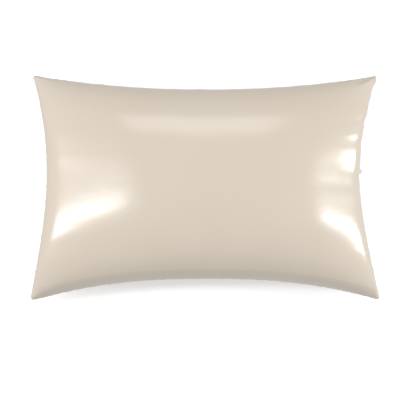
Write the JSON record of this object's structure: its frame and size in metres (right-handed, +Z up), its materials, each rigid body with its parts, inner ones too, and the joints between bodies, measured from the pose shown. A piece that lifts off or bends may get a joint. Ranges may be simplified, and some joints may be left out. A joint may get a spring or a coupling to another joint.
{
  "type": "pillowcase",
  "caption": "Satin pillowcase filled with its pillow, lying on its back, with a hidden zip along one short end drawn partly open.",
  "frame": {"origin": "under the middle of the case, on the surface that it lies on", "axes": "+X along the case's length, towards the zip; +Y across it; +Z up through the crown, out of the front panel"},
  "size_m": [0.7307, 0.4768, 0.2052],
  "materials": {
    "satin": "champagne satin with a soft sheen",
    "cotton": "plain white cotton",
    "tape_cloth": "cream woven zip tape",
    "nickel": "polished nickel",
    "enamel": "white enamel"
  },
  "bodies": {
    "root": {"front_panel": "satin", "back_panel": "satin", "pillow_insert": "cotton", "zip_tape_front": "tape_cloth", "zip_tape_back": "tape_cloth", "zip_slider": "nickel", "zip_ring": "nickel", "zip_pull": "enamel"}
  },
  "joints": []
}
